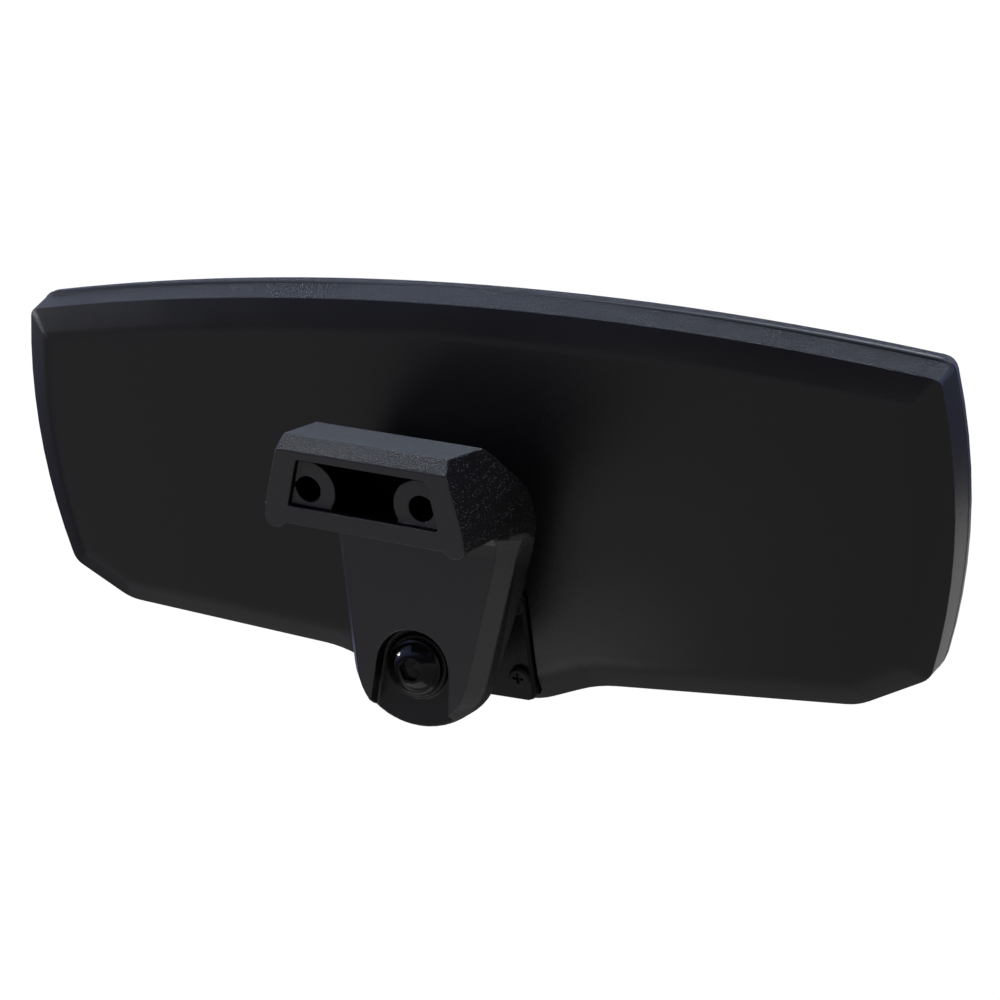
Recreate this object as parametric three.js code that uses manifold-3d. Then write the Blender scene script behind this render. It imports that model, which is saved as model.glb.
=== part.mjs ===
// Interior rearview mirror on a two-screw bracket with a ball joint. Millimetres.
// +Y points out of the bracket's mounting face, +Z is up, and the glass looks along -Y.
// The origin lies on the mounting face, in the middle of its lower rim.
import * as THREE from "three";
import { mergeVertices } from "three/addons/utils/BufferGeometryUtils.js";
import Module from "manifold-3d";

const wasm = await Module();
wasm.setup();

// Pieces that touch in the real mirror are kept this far apart.
const GAP = 0.3;
// Straight segments round each full circle.
const ROUND = 40;

// ---- Bracket: a box with the mounting face, and an arm that hangs down from it ----
const SCREW_LINE_Z = 6.3;
const SCREW_SPACING = 28;
const SCREW_HOLE_R = 3;
const SCREW_HOLE_DEPTH = 15;
const BOSS_R = 6.9;
const BOSS_RECESS = 1.6;
const POCKET_DEPTH = 14;
const FACE_TOP_Z = SCREW_LINE_Z + 9.3;
const FACE_BOTTOM_Z = SCREW_LINE_Z - 8.55;
const FACE_TOP_HALF = 20.9;
const FACE_BOTTOM_HALF = 24.8;
const FOOT_DROP = 1.4;

// ---- Bolt: it stands square to the arm's plate, which leans away from the mounting face ----
const PLATE_LEAN = 12.6;
const BOLT_Y = -21.15;
const BOLT_Z = SCREW_LINE_Z - 52.85;
const ARM_END_R = 14.6;
const ARM_SPREAD = 11.8;
const ARM_FRONT_SPREAD = 10.3;
const ARM_FRONT_LEAN = 1.5;
const ARM_EDGE_TOP = 33;
const ARM_CHAMFER = 3.3;
// The chamfer is this much narrower under the arm's round end than at its sides.
const ARM_END_SHARE = 0.25;
const ARM_CHAMFER_DEPTH = 4.6;
const ARM_THICKNESS = 13.5;
const RECESS_DEPTH = 4;
const RECESS_R = 9.6;
const BOLT_SEAT = 3;
const BOLT_SEAT_R = 7.7;
const BOLT_HEAD_R = 7;
const BOLT_HEAD_HEIGHT = 4.4;
const BOLT_SOCKET_ACROSS_FLATS = 5;
const BOLT_R = 3.9;
const STUD_POCKET_R = 7.9;
const STUD_SEAT = 7;

// ---- Ball joint ----
const BALL_R = 7;
const BALL_BELOW_PLATE = 25.7;
const LINER_WALL = 1;
const LINER_R = BALL_R + 0.25;
const SEAT_R = LINER_R + LINER_WALL + 0.25;

// How the mirror is turned on its ball, in degrees.
const ROLL = 2.9;
const SWIVEL = 0.35;
const TILT = -1.3;

// ---- Mirror head, measured from the ball's centre: y towards the bracket, z up ----
const CORNER_HALF_WIDTH = 117.6;
const CORNER_Z = 79.25;
const CROWN = 9.2;
const END_FOOT_Z = 6.1;
const END_BULGE = 4.3;
const CHIN_CORNER = [101.2, -3.5];
const TAB_TOP = [36, -8.7];
const TAB_FOOT = [20, -15.6];
const BACK_Y = -1;
const BEVEL_DROP = 3.5;
const BEVEL_WIDTH = 7;
const SEAM_Y = -12.6;
const FRONT_Y = -16.5;
const DRAFT = 1.4;
const WALL = 2.2;
const BEZEL_LEDGE = 0.15;
const GLASS_INSET = 2.7;
const GLASS_THICKNESS = 1.8;
const LIP_WIDTH = 1.9;
const LIP_THICKNESS = 0.7;

// ---- Housing that holds the ball in the rear shell ----
const HOUSING_TOP = [19.9, 18.1];
const HOUSING_BOTTOM = [21.3, -13.9];
const HOUSING_RISE = 1.6;
const COLLAR_R = 11.2;
const COLLAR_Y = 3.2;
const SKIRT_Y = -9.2;
const HOUSING_SCREWS = { x: 17.3, upper: 14, lower: -6.2 };
const SCREW_R = 1.45;
const SCREW_HEAD_R = 2.7;
const RETAINER_Y = -9.7;
const RETAINER_THICKNESS = 0.8;

// ---------------------------------------------------------------- solids
function solidOf(geometry) {
  const bare = geometry.clone();
  for (const extra of ["normal", "uv"]) bare.deleteAttribute(extra);
  const merged = mergeVertices(bare, 1e-4);
  return new wasm.Manifold(
    new wasm.Mesh({
      numProp: 3,
      vertProperties: merged.attributes.position.array,
      triVerts: new Uint32Array(merged.index.array),
    }),
  );
}

function geometryOf(solid) {
  const { vertProperties, triVerts } = solid.getMesh();
  const geometry = new THREE.BufferGeometry();
  geometry.setAttribute("position", new THREE.BufferAttribute(vertProperties, 3));
  geometry.setIndex(new THREE.BufferAttribute(triVerts, 1));
  const flat = geometry.toNonIndexed();
  flat.computeVertexNormals();
  return flat;
}

function anticlockwise(points) {
  const flat = points.map(([a, b]) => new THREE.Vector2(a, b));
  return THREE.ShapeUtils.isClockWise(flat) ? points.toReversed() : points;
}

// A prism along X, Y or Z. Its outline lists [y, z], [z, x] or [x, y] points.
function prism(outline, axis, from, to) {
  const shape = new THREE.Shape(outline.map(([a, b]) => new THREE.Vector2(a, b)));
  const geometry = new THREE.ExtrudeGeometry(shape, { depth: to - from, bevelEnabled: false });
  geometry.translate(0, 0, from);
  const unit = (i) => new THREE.Vector3().setComponent(i % 3, 1);
  const first = { x: 1, y: 2, z: 0 }[axis];
  const turn = new THREE.Matrix4().makeBasis(unit(first), unit(first + 1), unit(first + 2));
  return solidOf(geometry.applyMatrix4(turn));
}

// A skin over loops of [a, b] points, all of one length, stacked along Y or Z from low to high.
function loft(stack, axis) {
  const place = axis === "y" ? (a, b, at) => [b, at, a] : (a, b, at) => [a, b, at];
  const count = stack[0].points.length;
  const loops = stack.map(({ at, points }) => ({ at, points: anticlockwise(points) }));
  const positions = loops.flatMap(({ points, at }) => points.flatMap(([a, b]) => place(a, b, at)));
  const index = [];
  for (let ring = 0; ring + 1 < loops.length; ring++) {
    for (let i = 0; i < count; i++) {
      const low = ring * count + i;
      const lowNext = ring * count + ((i + 1) % count);
      index.push(low, lowNext, lowNext + count, low, lowNext + count, low + count);
    }
  }
  const cap = (loop) =>
    THREE.ShapeUtils.triangulateShape(
      loop.points.map(([a, b]) => new THREE.Vector2(a, b)),
      [],
    );
  const top = (loops.length - 1) * count;
  for (const [a, b, c] of cap(loops[0])) index.push(c, b, a);
  for (const [a, b, c] of cap(loops.at(-1))) index.push(top + a, top + b, top + c);
  const geometry = new THREE.BufferGeometry();
  geometry.setAttribute("position", new THREE.Float32BufferAttribute(positions, 3));
  geometry.setIndex(index);
  return solidOf(geometry);
}

// A turned solid about the Y axis, from [radius, y] points listed from low y to high y.
function turned(profile, segments = ROUND) {
  const points = profile.map(([r, y]) => new THREE.Vector2(r, y));
  return solidOf(new THREE.LatheGeometry(points, segments));
}

function disc(radius, from, to, segments = ROUND) {
  return turned([[0, from], [radius, from], [radius, to], [0, to]], segments);
}

function ring(inner, outer, from, to) {
  return turned([[inner, from], [outer, from], [outer, to], [inner, to], [inner, from]]);
}

// Points of a circle's arc about [0, 0] in the [r, y] half plane, between two heights.
function arcPoints(radius, fromY, toY, steps) {
  const start = Math.asin(fromY / radius);
  const end = Math.asin(toY / radius);
  return Array.from({ length: steps + 1 }, (_, i) => {
    const angle = start + ((end - start) * i) / steps;
    return [radius * Math.cos(angle), radius * Math.sin(angle)];
  });
}

// The same outline with its first coordinate's sign changed, so it covers both sides.
function bothSides(half) {
  return [...half, ...half.toReversed().map(([a, b]) => [-a, b])];
}

const swap = (points) => points.map(([a, b]) => [b, a]);

// ---------------------------------------------------------------- mirror outline
// The outline's edges on one side, moved inwards by a distance, as curves between corners.
function circleThrough(from, to, bulge) {
  const chord = Math.hypot(to[0] - from[0], to[1] - from[1]);
  const radius = (chord * chord) / (8 * bulge) + bulge / 2;
  const outward = [(to[1] - from[1]) / chord, -(to[0] - from[0]) / chord];
  const middle = [(from[0] + to[0]) / 2, (from[1] + to[1]) / 2];
  const inset = radius - bulge;
  return { centre: middle.map((m, i) => m - outward[i] * inset), radius };
}

function lineThrough(from, to, inset) {
  const length = Math.hypot(to[0] - from[0], to[1] - from[1]);
  const along = [(to[0] - from[0]) / length, (to[1] - from[1]) / length];
  const outward = [along[1], -along[0]];
  return { point: from.map((f, i) => f - outward[i] * inset), along };
}

function meetLines(a, b) {
  const cross = a.along[0] * b.along[1] - a.along[1] * b.along[0];
  const gap = [b.point[0] - a.point[0], b.point[1] - a.point[1]];
  const t = (gap[0] * b.along[1] - gap[1] * b.along[0]) / cross;
  return [a.point[0] + a.along[0] * t, a.point[1] + a.along[1] * t];
}

// The crossing of a line and a circle that is further along the line, or nearer if side is -1.
function meetCircle(line, circle, side) {
  const away = [line.point[0] - circle.centre[0], line.point[1] - circle.centre[1]];
  const half = away[0] * line.along[0] + away[1] * line.along[1];
  const rest = away[0] ** 2 + away[1] ** 2 - circle.radius ** 2;
  const t = -half + side * Math.sqrt(half * half - rest);
  return [line.point[0] + line.along[0] * t, line.point[1] + line.along[1] * t];
}

// The upper crossing of two circles.
function meetCircles(a, b) {
  const gap = [b.centre[0] - a.centre[0], b.centre[1] - a.centre[1]];
  const apart = Math.hypot(...gap);
  const along = (apart ** 2 + a.radius ** 2 - b.radius ** 2) / (2 * apart);
  const aside = Math.sqrt(a.radius ** 2 - along ** 2);
  const unit = gap.map((g) => g / apart);
  const both = [1, -1].map((s) => [
    a.centre[0] + unit[0] * along - s * unit[1] * aside,
    a.centre[1] + unit[1] * along + s * unit[0] * aside,
  ]);
  return both[0][1] > both[1][1] ? both[0] : both[1];
}

function arcBetween(circle, from, to) {
  const angle = (p) => Math.atan2(p[1] - circle.centre[1], p[0] - circle.centre[0]);
  const start = angle(from);
  const sweep = angle(to) - start;
  return (t) => [
    circle.centre[0] + circle.radius * Math.cos(start + sweep * t),
    circle.centre[1] + circle.radius * Math.sin(start + sweep * t),
  ];
}

function straight(from, to) {
  return (t) => [from[0] + (to[0] - from[0]) * t, from[1] + (to[1] - from[1]) * t];
}

// Right half of the mirror's outline, from the bottom middle up to the top middle.
function halfOutline(inset) {
  const shrink = (circle) => ({ ...circle, radius: circle.radius - inset });
  const corner = [CORNER_HALF_WIDTH, CORNER_Z];
  const topCircle = shrink(circleThrough(corner, [-CORNER_HALF_WIDTH, CORNER_Z], CROWN));
  const endCircle = shrink(circleThrough([CORNER_HALF_WIDTH, END_FOOT_Z], corner, END_BULGE));
  const chin = lineThrough(CHIN_CORNER, [CORNER_HALF_WIDTH, END_FOOT_Z], inset);
  const belly = lineThrough(TAB_TOP, CHIN_CORNER, inset);
  const tabSide = lineThrough(TAB_FOOT, TAB_TOP, inset);
  const floor = { point: [0, TAB_FOOT[1] + inset], along: [1, 0] };
  const corners = [
    meetLines(floor, tabSide),
    meetLines(tabSide, belly),
    meetLines(belly, chin),
    meetCircle(chin, endCircle, 1),
    meetCircles(topCircle, endCircle),
  ];
  const top = [0, topCircle.centre[1] + topCircle.radius];
  const edges = [
    { at: straight([0, floor.point[1]], corners[0]), steps: 1, round: 4 },
    { at: straight(corners[0], corners[1]), steps: 1, round: 5 },
    { at: straight(corners[1], corners[2]), steps: 2, round: 3 },
    { at: straight(corners[2], corners[3]), steps: 1, round: 2.2 },
    { at: arcBetween(endCircle, corners[3], corners[4]), steps: 9, round: 1.8 },
    { at: arcBetween(topCircle, corners[4], top), steps: 14, round: 0 },
  ];
  return roundedPath(edges, inset);
}

// Joins edges end to end, with each corner between two edges rounded off.
function roundedPath(edges, inset) {
  const CORNER_STEPS = 4;
  const points = [];
  edges.forEach((edge, i) => {
    const length = Math.hypot(...edge.at(1).map((v, k) => v - edge.at(0)[k]));
    const softened = (size) => Math.max(size - inset * 0.5, 1);
    const before = i ? softened(edges[i - 1].round) / length : 0;
    const after = edge.round ? softened(edge.round) / length : 0;
    for (let step = 0; step <= edge.steps; step++) {
      points.push(edge.at(before + ((1 - before - after) * step) / edge.steps));
    }
    if (!edge.round) return;
    const next = edges[i + 1];
    const nextLength = Math.hypot(...next.at(1).map((v, k) => v - next.at(0)[k]));
    const bend = new THREE.QuadraticBezierCurve(
      new THREE.Vector2(...points.at(-1)),
      new THREE.Vector2(...edge.at(1)),
      new THREE.Vector2(...next.at(softened(edge.round) / nextLength)),
    );
    for (const p of bend.getPoints(CORNER_STEPS).slice(1, -1)) points.push([p.x, p.y]);
  });
  return points;
}

// A loop of [z, x] points for a loft along Y.
function mirrorLoop(inset, y) {
  const half = halfOutline(inset);
  const other = half.slice(1, -1).toReversed();
  return { at: y, points: swap([...half, ...other.map(([x, z]) => [-x, z])]) };
}

const mirrorLoft = (...loops) => loft(loops.map(([inset, y]) => mirrorLoop(inset, y)), "y");

// ---------------------------------------------------------------- bracket
// Side view of box and arm as [y, z] points: a flat back and a plate that leans.
function bracketSideView() {
  const lean = THREE.MathUtils.degToRad(PLATE_LEAN);
  const onPlate = (up, deep) => [
    BOLT_Y - up * Math.sin(lean) - deep * Math.cos(lean),
    BOLT_Z + up * Math.cos(lean) - deep * Math.sin(lean),
  ];
  return [
    [0, FACE_BOTTOM_Z],
    [0, FACE_TOP_Z],
    [-2.8, FACE_TOP_Z + 2.9],
    [-18.5, FACE_TOP_Z - 0.4],
    [-22, FACE_TOP_Z - 3.1],
    [-35.3, FACE_TOP_Z - 16.3],
    [-37.2, FACE_TOP_Z - 20.1],
    [-38.2, FACE_TOP_Z - 26.3],
    [-37.6, FACE_TOP_Z - 33.3],
    [-36.4, FACE_TOP_Z - 39.8],
    onPlate(12.5, ARM_THICKNESS),
    onPlate(-22, ARM_THICKNESS),
    onPlate(-22, 0),
    onPlate(31, 0),
    onPlate(34, -0.7),
    onPlate(36.2, -2.3),
    [-24, FACE_BOTTOM_Z - 6.9],
    [-14, FACE_BOTTOM_Z - 2.5],
  ];
}

// Front view of box and arm as [x, z] points for one side, from the top down.
function bracketFrontView() {
  return [
    [20.1, FACE_TOP_Z + 3],
    [FACE_TOP_HALF, FACE_TOP_Z],
    [FACE_BOTTOM_HALF - 0.5, FACE_BOTTOM_Z + 5],
    [FACE_BOTTOM_HALF + 0.2, FACE_BOTTOM_Z - 1.4],
    [FACE_BOTTOM_HALF + 0.8, FACE_BOTTOM_Z - 7.5],
    [FACE_BOTTOM_HALF + 0.4, FACE_BOTTOM_Z - 15.5],
    [22, BOLT_Z - 25],
  ];
}

// Thin lips below the two lower corners of the mounting face.
function mountingFoot(side) {
  const outline = [
    [FACE_BOTTOM_HALF - 5.5, FACE_BOTTOM_Z + 0.6],
    [FACE_BOTTOM_HALF - 5.5, FACE_BOTTOM_Z],
    [FACE_BOTTOM_HALF - 3.4, FACE_BOTTOM_Z - FOOT_DROP],
    [FACE_BOTTOM_HALF - 1.3, FACE_BOTTOM_Z - FOOT_DROP],
    [FACE_BOTTOM_HALF - 0.2, FACE_BOTTOM_Z - 0.2],
    [FACE_BOTTOM_HALF - 0.2, FACE_BOTTOM_Z + 0.6],
  ].map(([x, z]) => [z, x * side]);
  return prism(outline, "y", -12, 0);
}

// The recess in the mounting face: a shallow window, two screw bosses and a deep pocket between.
function mountingPocket() {
  const window = bothSides([
    [15.8, SCREW_LINE_Z + 7.4],
    [18.6, SCREW_LINE_Z - 4.15],
  ]);
  const deep = prism(swap(window), "y", -POCKET_DEPTH, 1);
  const bosses = [-1, 1].map((side) =>
    disc(BOSS_R, -POCKET_DEPTH - 1, -BOSS_RECESS).translate(
      (side * SCREW_SPACING) / 2,
      0,
      SCREW_LINE_Z,
    ),
  );
  const holes = [-1, 1].map((side) =>
    disc(SCREW_HOLE_R, -SCREW_HOLE_DEPTH - BOSS_RECESS, 1).translate(
      (side * SCREW_SPACING) / 2,
      0,
      SCREW_LINE_Z,
    ),
  );
  const hollow = bosses.reduce((body, boss) => body.subtract(boss), deep);
  return holes.reduce((body, hole) => body.add(hole), hollow);
}

// Everything cut along the bolt's axis, in the bolt's own frame: y out of the plate, z up it.
function boltCuts() {
  const archSteps = 16;
  const arch = Array.from({ length: archSteps + 1 }, (_, i) => {
    const angle = (Math.PI * i) / archSteps;
    return [RECESS_R * Math.sin(angle), RECESS_R * Math.cos(angle)];
  });
  const mouth = [
    [-26, -RECESS_R - 2],
    [-26, RECESS_R + 2],
  ];
  const seat = turned([
    [0, -RECESS_DEPTH - 1],
    [BOLT_SEAT_R + 0.5, -RECESS_DEPTH - 1],
    [BOLT_SEAT_R + 0.5, -RECESS_DEPTH],
    [BOLT_SEAT_R, -BOLT_SEAT],
    [0, -BOLT_SEAT],
  ]);
  const recess = prism([...arch, ...mouth], "y", -RECESS_DEPTH, 6).subtract(seat);
  const bore = disc(BOLT_R + 0.4, -ARM_THICKNESS - 20, 1);
  const studPocket = disc(STUD_POCKET_R, -ARM_THICKNESS - 20, -STUD_SEAT);
  return recess.add(bore).add(studPocket);
}

// The arm's outline in the bolt's frame, grown by a margin: a round lower end, edges that
// spread upwards from it, and a hollow curve where they run out into the box.
function armLoop(margin, y, spreadAngle = ARM_SPREAD, leanAngle = 0) {
  const STEPS = 10;
  const spread = THREE.MathUtils.degToRad(spreadAngle);
  const lean = Math.tan(THREE.MathUtils.degToRad(leanAngle));
  const radius = ARM_END_R + margin;
  const drop = ARM_END_R + margin * ARM_END_SHARE;
  const end = Array.from({ length: STEPS + 1 }, (_, i) => {
    const angle = ((Math.PI / 2 - spread) * (i + 0.5)) / (STEPS + 0.5);
    return [radius * Math.sin(angle), -drop * Math.cos(angle)];
  });
  const edge = (radius + ARM_EDGE_TOP * Math.sin(spread)) / Math.cos(spread);
  const runOut = [
    [edge, ARM_EDGE_TOP],
    [edge + 0.6, ARM_EDGE_TOP + 2],
    [edge + 2, ARM_EDGE_TOP + 3.6],
    [edge + 4.5, ARM_EDGE_TOP + 4.6],
    [edge + 9, ARM_EDGE_TOP + 5],
    [edge + 9, ARM_EDGE_TOP + 8],
  ];
  const outline = bothSides([...end, ...runOut]).map(([x, z]) => [x + lean * Math.max(z, 0), z]);
  return { at: y, points: swap(outline) };
}

// What is cut away round the arm: it has a wide sloping edge in front and a narrow one behind.
function armSurround() {
  const FORWARD = 8;
  const corners = bothSides([
    [45, -40],
    [45, ARM_EDGE_TOP + 5],
  ]);
  const block = prism(swap(corners), "y", -ARM_THICKNESS - 2, FORWARD - 1);
  const arm = loft(
    [
      armLoop(ARM_CHAMFER - 1.9, -ARM_THICKNESS - 3),
      armLoop(ARM_CHAMFER - 1.4, -ARM_THICKNESS),
      armLoop(ARM_CHAMFER + 0.3, -ARM_THICKNESS + 3.2),
      armLoop(ARM_CHAMFER, -ARM_CHAMFER_DEPTH, ARM_FRONT_SPREAD, ARM_FRONT_LEAN),
      armLoop((-ARM_CHAMFER * FORWARD) / ARM_CHAMFER_DEPTH, FORWARD, ARM_FRONT_SPREAD, ARM_FRONT_LEAN),
    ],
    "y",
  );
  return block.subtract(arm);
}

function onBoltAxis(solid) {
  return solid.rotate(PLATE_LEAN, 0, 0).translate(0, BOLT_Y, BOLT_Z);
}

function mountBracket() {
  const sideView = prism(bracketSideView(), "x", -30, 30);
  const frontView = prism(swap(bothSides(bracketFrontView())), "y", -45, 1);
  const blank = sideView.intersect(frontView).subtract(onBoltAxis(armSurround()));
  const body = blank.add(mountingFoot(1)).add(mountingFoot(-1));
  return body.subtract(mountingPocket()).subtract(onBoltAxis(boltCuts()));
}

// ---------------------------------------------------------------- bolt, washers and ball stud
// Button head with a low rim, a domed top and a hexagon socket; y is measured from the plate.
function pivotBolt() {
  const seat = -BOLT_SEAT + GAP;
  const top = seat + BOLT_HEAD_HEIGHT;
  const flatR = 3.6;
  const dome = Array.from({ length: 7 }, (_, i) => {
    const t = (i / 6) * (Math.PI / 2);
    const reach = BOLT_HEAD_R - 0.8 - flatR;
    return [flatR + reach * Math.cos(t), seat + 1.1 + (top - seat - 1.1) * Math.sin(t)];
  });
  const head = turned([
    [0, -17],
    [BOLT_R - 0.6, -17],
    [BOLT_R, -16.4],
    [BOLT_R, seat],
    [BOLT_HEAD_R - 0.3, seat],
    [BOLT_HEAD_R, seat + 0.3],
    [BOLT_HEAD_R, seat + 0.8],
    [BOLT_HEAD_R - 0.25, seat + 1.05],
    ...dome,
    [0, top],
  ]);
  const cornerR = BOLT_SOCKET_ACROSS_FLATS / Math.sqrt(3);
  const socket = disc(cornerR, top - 2.6, top + 1, 6);
  return head.subtract(socket);
}

function lockWasher() {
  const split = prism(
    [
      [-0.5, 0],
      [0.5, 0],
      [0.5, 9],
      [-0.5, 9],
    ],
    "y",
    -12,
    0,
  );
  return ring(BOLT_R + 0.35, 6.6, -STUD_SEAT - 1.9, -STUD_SEAT - GAP).subtract(split);
}

function flatWasher() {
  return ring(BOLT_R + 0.35, 7.4, -STUD_SEAT - 3.2, -STUD_SEAT - 2.2);
}

// Threaded base in the arm's pocket, a neck, and the ball; y is measured from the plate.
function ballStud() {
  const NECK_R = 4.4;
  const baseTop = -STUD_SEAT - 3.5;
  const neckAt = Math.sqrt(BALL_R ** 2 - NECK_R ** 2);
  const ball = arcPoints(BALL_R, -BALL_R, neckAt, 20).map(([r, y]) => [
    Math.max(r, 0),
    y - BALL_BELOW_PLATE,
  ]);
  const base = [
    [NECK_R, -18.6],
    [NECK_R + 0.6, -17.9],
    [7, -17.6],
    [7.5, -17.1],
    [7.5, baseTop - 0.4],
    [7.1, baseTop],
    [0, baseTop],
  ];
  return turned([...ball, ...base]).subtract(disc(BOLT_R + 0.2, -17.3, 0));
}

// ---------------------------------------------------------------- ball seat in the head
function ballLiner() {
  const low = -0.8;
  const high = COLLAR_Y - 0.2;
  const inner = arcPoints(LINER_R, low, high, 6);
  const outer = arcPoints(LINER_R + LINER_WALL, low, high, 6).toReversed();
  return turned([...inner, ...outer, inner[0]].toReversed());
}

function ballCup() {
  const high = -2.9;
  const HOLE_R = 2.2;
  const lowOf = (radius) => -Math.sqrt(radius ** 2 - HOLE_R ** 2);
  const inner = arcPoints(LINER_R, lowOf(LINER_R), high, 9);
  const outerR = LINER_R + LINER_WALL;
  const outer = arcPoints(outerR, lowOf(outerR), high, 9).toReversed();
  return turned([...inner, ...outer, inner[0]].toReversed());
}

// A dished spring washer that pushes the cup against the ball.
function cupSpring() {
  return turned([
    [4, -8.55],
    [4.1, -8.95],
    [7.6, -9.4],
    [7.7, -9.0],
    [4, -8.55],
  ]);
}

// Outline of the housing that shows on the shell, as [z, x] points, grown by a margin.
function housingLoop(margin) {
  const [topX, topZ] = [HOUSING_TOP[0] + margin, HOUSING_TOP[1] + margin];
  const [bottomX, bottomZ] = [HOUSING_BOTTOM[0] + margin, HOUSING_BOTTOM[1] - margin];
  const CORNER = 2.5 + margin;
  const half = [
    [topX - CORNER, topZ],
    [topX - CORNER * 0.3, topZ - CORNER * 0.3],
    [topX, topZ - CORNER],
    [bottomX, bottomZ + CORNER],
    [bottomX - CORNER * 0.3, bottomZ + CORNER * 0.3],
    [bottomX - CORNER, bottomZ],
  ];
  return swap(bothSides(half));
}

function housingScrewPlaces() {
  const { x, upper, lower } = HOUSING_SCREWS;
  return [
    ["upper_left", x, upper],
    ["upper_right", -x, upper],
    ["lower_left", x, lower],
    ["lower_right", -x, lower],
  ];
}

// Housing: a raised plate and collar outside the shell, a flange and a skirt inside it.
function jointHousing() {
  const face = BACK_Y + HOUSING_RISE;
  const inside = BACK_Y - WALL - GAP;
  const flangeHalf = HOUSING_BOTTOM[0] + 2.6;
  const flangeOutline = [
    [flangeHalf - 2, HOUSING_TOP[1] + 3],
    [flangeHalf, HOUSING_BOTTOM[1] + 9],
  ];
  const plate = loft(
    [
      { at: inside - 1.6, points: housingLoop(-0.4) },
      { at: face - 0.7, points: housingLoop(-0.4) },
      { at: face, points: housingLoop(-1.1) },
    ],
    "y",
  );
  const flange = prism(swap(bothSides(flangeOutline)), "y", inside - 1.6, inside);
  const collar = turned([
    [0, SKIRT_Y],
    [COLLAR_R - 0.6, SKIRT_Y],
    [COLLAR_R - 0.6, inside - 1.6],
    [COLLAR_R + 0.7, face - 0.4],
    [COLLAR_R, face + 0.5],
    [COLLAR_R - 1, COLLAR_Y - 0.5],
    [COLLAR_R - 1.7, COLLAR_Y],
    [0, COLLAR_Y],
  ]);
  const seat = turned([
    [0, SKIRT_Y - 1],
    [SEAT_R, SKIRT_Y - 1],
    ...arcPoints(SEAT_R, 0, COLLAR_Y + 0.6, 8),
    [0, COLLAR_Y + 0.6],
  ]);
  const trimmed = housingScrewPlaces().reduce(
    (body, [, x, z]) =>
      body
        .subtract(disc(SCREW_R + 0.25, inside - 3, face + 1, 24).translate(x, 0, z))
        .add(ring(SCREW_R + 0.25, 3.1, SKIRT_Y, inside - 1).translate(x, 0, z)),
    plate.add(flange),
  );
  return trimmed.add(collar).subtract(seat);
}

function housingScrew() {
  const seat = BACK_Y + HOUSING_RISE + GAP;
  const head = turned(
    [
      [0, RETAINER_Y - RETAINER_THICKNESS - 0.6],
      [SCREW_R, RETAINER_Y - RETAINER_THICKNESS - 0.6],
      [SCREW_R, seat],
      [SCREW_HEAD_R, seat],
      [SCREW_HEAD_R, seat + 0.7],
      [SCREW_HEAD_R - 0.5, seat + 1.3],
      [0, seat + 1.5],
    ],
    24,
  );
  const slot = (long, wide) =>
    prism(
      [
        [-wide, -long],
        [wide, -long],
        [wide, long],
        [-wide, long],
      ],
      "y",
      seat + 0.6,
      seat + 2,
    );
  return head.subtract(slot(1.5, 0.35)).subtract(slot(0.35, 1.5));
}

// Steel plate behind the housing that closes the joint and carries the spring.
function retainerPlate() {
  const { x, upper, lower } = HOUSING_SCREWS;
  const REACH = 3.6;
  const CUT = 2.5;
  const [right, top, bottom] = [x + REACH, upper + REACH, lower - REACH];
  const half = [
    [right - CUT, top],
    [right, top - CUT],
    [right, bottom + CUT],
    [right - CUT, bottom],
  ];
  const blank = prism(swap(bothSides(half)), "y", RETAINER_Y - RETAINER_THICKNESS, RETAINER_Y);
  return housingScrewPlaces().reduce(
    (body, [, px, pz]) => body.subtract(disc(SCREW_R + 0.25, -20, 0, 24).translate(px, 0, pz)),
    blank,
  );
}

// ---------------------------------------------------------------- mirror head
// Rear shell: a flat back, a sloping band round it, and a drafted wall that runs to the seam.
function rearShell() {
  const outside = mirrorLoft(
    [-DRAFT, SEAM_Y],
    [0, BACK_Y - BEVEL_DROP],
    [BEVEL_WIDTH - 1.5, BACK_Y - 0.8],
    [BEVEL_WIDTH + 1, BACK_Y - 0.15],
    [BEVEL_WIDTH + 3.5, BACK_Y],
  );
  const inside = mirrorLoft(
    [WALL - DRAFT - 0.2, SEAM_Y - 1],
    [WALL, BACK_Y - BEVEL_DROP - WALL * 0.6],
    [BEVEL_WIDTH + WALL * 0.4, BACK_Y - WALL],
  );
  const window = prism(housingLoop(0), "y", BACK_Y - BEVEL_DROP - 2, BACK_Y + 1);
  return outside.subtract(inside).subtract(window);
}

// Front bezel: a rim a little proud of the shell, a lip over the glass and a tongue inside.
function frontBezel() {
  const rim = mirrorLoft(
    [-DRAFT - BEZEL_LEDGE + 0.9, FRONT_Y],
    [-DRAFT - BEZEL_LEDGE - 0.1, FRONT_Y + 0.7],
    [-DRAFT - BEZEL_LEDGE, SEAM_Y - GAP - 0.3],
    [-DRAFT - BEZEL_LEDGE + 0.3, SEAM_Y - GAP],
  );
  const tongueOut = WALL - DRAFT + 0.4;
  const tongue = mirrorLoft([tongueOut, SEAM_Y - 1], [tongueOut + 0.2, SEAM_Y + 2.2]);
  const pocket = mirrorLoft(
    [GLASS_INSET - 0.3, FRONT_Y + LIP_THICKNESS],
    [GLASS_INSET - 0.3, SEAM_Y + 3],
  );
  const view = mirrorLoft(
    [GLASS_INSET + LIP_WIDTH - 0.5, FRONT_Y - 1],
    [GLASS_INSET + LIP_WIDTH, FRONT_Y + LIP_THICKNESS + 0.5],
  );
  return rim.add(tongue).subtract(pocket).subtract(view);
}

const GLASS_BACK_Y = FRONT_Y + LIP_THICKNESS + 0.2 + GLASS_THICKNESS;

function mirrorGlass() {
  return mirrorLoft([GLASS_INSET, GLASS_BACK_Y - GLASS_THICKNESS], [GLASS_INSET, GLASS_BACK_Y]);
}

const CARRIER_FRONT_Y = GLASS_BACK_Y + 1;

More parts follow.
